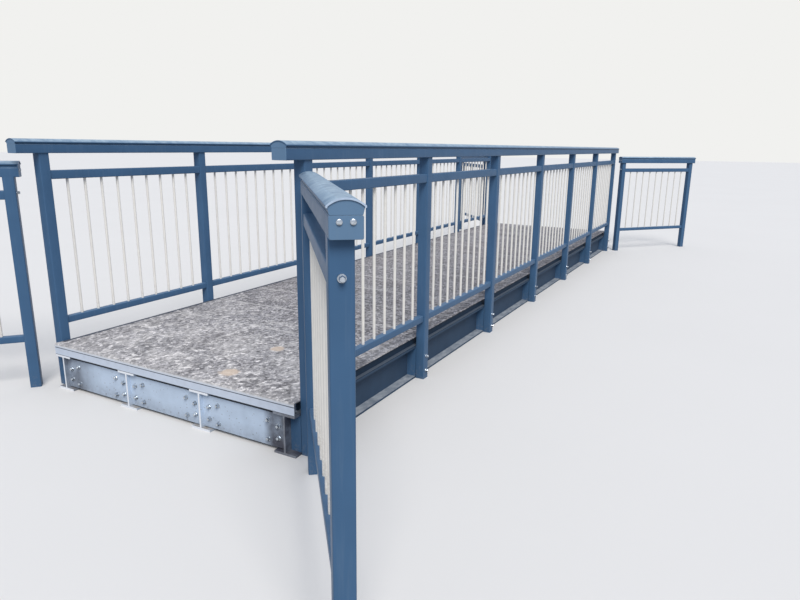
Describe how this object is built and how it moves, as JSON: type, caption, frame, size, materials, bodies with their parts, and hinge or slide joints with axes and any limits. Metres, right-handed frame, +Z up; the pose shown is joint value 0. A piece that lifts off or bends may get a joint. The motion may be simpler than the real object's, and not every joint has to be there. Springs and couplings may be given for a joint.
{
  "type": "fiberglass footbridge",
  "caption": "Short flat footbridge of pultruded glass-fibre beams with a gritted deck, baluster railings with arched handrails, and flared approach railings at its corners.",
  "frame": {"origin": "centre of the bridge in plan, at the level that the beams and the posts stand on", "axes": "+X along the bridge, +Y across it towards the left railing, +Z up"},
  "size_m": [9.5044, 3.856, 1.474],
  "materials": {
    "posts": "satin paint",
    "handrail": "satin paint",
    "railing": "satin paint",
    "beams": "satin paint",
    "trim": "plain resin",
    "deck": "coarse grit"
  },
  "bodies": {
    "root": {"angle_cleats": "trim", "beam_inner_left": "beams", "beam_inner_right": "beams", "cross_frames": "beams", "cross_plates_back": "trim", "cross_plates_front": "trim", "deck_panels_1": "deck", "deck_panels_2": "deck", "deck_panels_3": "deck", "deck_panels_4": "deck", "deck_panels_5": "deck", "deck_panels_6": "deck", "edge_trims": "trim", "girder_left": "beams", "girder_right": "beams", "handrail_end_caps": "handrail", "handrail_left": "handrail", "handrail_right": "handrail", "nosing_back": "trim", "nosing_front": "trim", "post_spacers": "beams", "posts_left": "posts", "posts_right": "posts", "railing_left_1": "railing", "railing_left_2": "railing", "railing_left_3": "railing", "railing_left_4": "railing", "railing_left_5": "railing", "railing_left_6": "railing", "railing_right_1": "railing", "railing_right_2": "railing", "railing_right_3": "railing", "railing_right_4": "railing", "railing_right_5": "railing", "railing_right_6": "railing", "wing_back_left_handrail": "handrail", "wing_back_left_railing": "railing", "wing_back_right_handrail": "handrail", "wing_back_right_railing": "railing", "wing_front_left_handrail": "handrail", "wing_front_left_railing": "railing", "wing_front_right_handrail": "handrail", "wing_front_right_railing": "railing", "wing_posts_back": "posts", "wing_posts_front": "posts"}
  },
  "joints": []
}
